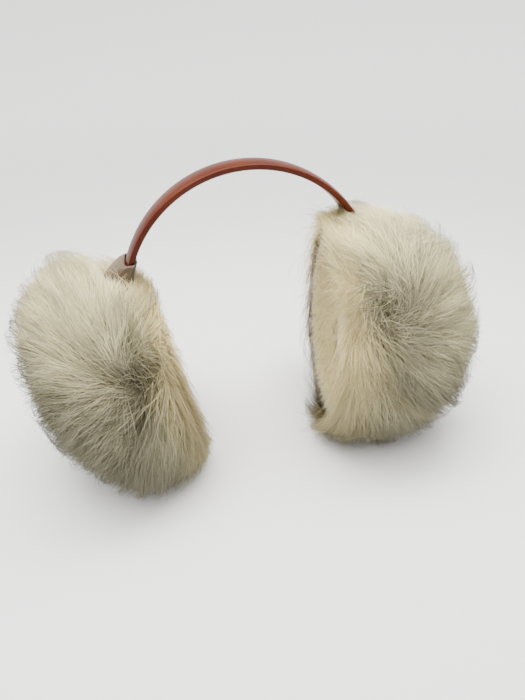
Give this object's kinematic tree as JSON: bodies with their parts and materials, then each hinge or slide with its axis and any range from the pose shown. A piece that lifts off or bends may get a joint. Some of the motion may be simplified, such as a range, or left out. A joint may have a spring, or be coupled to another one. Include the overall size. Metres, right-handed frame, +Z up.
{
  "type": "fur earmuffs",
  "caption": "Deep round muffs of long cream fur on an arched leather headband, with gathered leather collars where the band goes into the fur.",
  "frame": {"origin": "on the ground between the muffs, in the middle of the whole object", "axes": "+Z up towards the top of the headband, +X to the wearer's left, -Y to the wearer's front"},
  "size_m": [0.2894, 0.1498, 0.186],
  "materials": {
    "band_leather": "smooth satin rust leather",
    "collar_leather": "soft olive-brown leather, gathered",
    "pad_plush": "short cream plush",
    "fur": "long cream fur with golden-brown roots"
  },
  "bodies": {
    "root": {"headband": "band_leather", "left_collar": "collar_leather", "right_collar": "collar_leather", "left_ear_pad": "pad_plush", "right_ear_pad": "pad_plush", "left_fur": "fur", "right_fur": "fur"}
  },
  "joints": []
}
